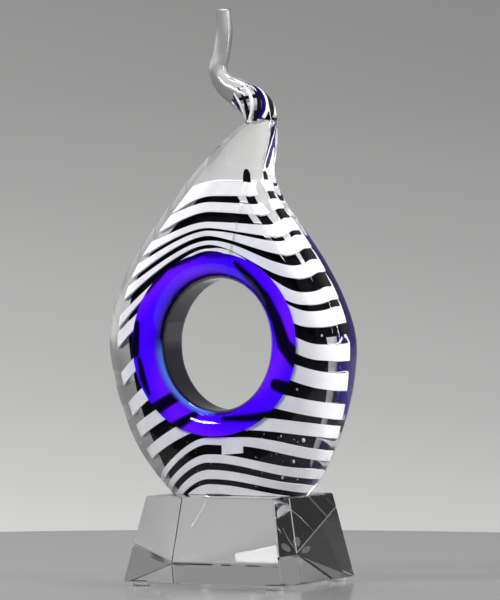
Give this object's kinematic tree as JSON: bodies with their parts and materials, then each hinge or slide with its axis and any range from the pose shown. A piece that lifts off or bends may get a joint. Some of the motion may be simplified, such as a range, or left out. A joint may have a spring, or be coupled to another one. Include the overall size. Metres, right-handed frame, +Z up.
{
  "type": "art glass award",
  "caption": "Pierced art-glass sculpture with wavy white and black bands and a cobalt ring, bonded to a cut crystal block.",
  "frame": {"origin": "middle of the award's bounding box, seen from above, on the plane that the feet stand on; the block's centre is 5.5 mm to its right", "axes": "+Z up along the sculpture's height, -Y the front face of the block, X across it"},
  "size_m": [0.1562, 0.1012, 0.336],
  "materials": {
    "crystal": "polished optical crystal",
    "clear_pad": "soft translucent moulded bumper",
    "adhesive": "clear cured film",
    "clear_glass": "fire-polished clear glass",
    "cobalt_glass": "transparent cobalt glass",
    "deep_cobalt_glass": "dense cobalt glass",
    "black_glass": "opaque black glass",
    "white_glass": "opaque white enamel glass"
  },
  "bodies": {
    "root": {"base_block": "crystal", "black_core": "black_glass", "bond_film": "adhesive", "bumper_feet": "clear_pad", "clear_casing": "clear_glass", "cobalt_back": "deep_cobalt_glass", "cobalt_ring": "cobalt_glass", "inner_gather": "clear_glass", "tail_black_strand": "black_glass", "tail_cobalt_strand": "deep_cobalt_glass", "tail_glass": "clear_glass", "tail_white_strand": "white_glass", "white_band_01": "white_glass", "white_band_02": "white_glass", "white_band_03": "white_glass", "white_band_04": "white_glass", "white_band_05": "white_glass", "white_band_06": "white_glass", "white_band_07": "white_glass", "white_band_08": "white_glass", "white_band_09": "white_glass", "white_band_10": "white_glass", "white_band_11": "white_glass", "white_band_12": "white_glass", "white_band_13": "white_glass", "white_band_14": "white_glass", "white_band_15": "white_glass"}
  },
  "joints": []
}
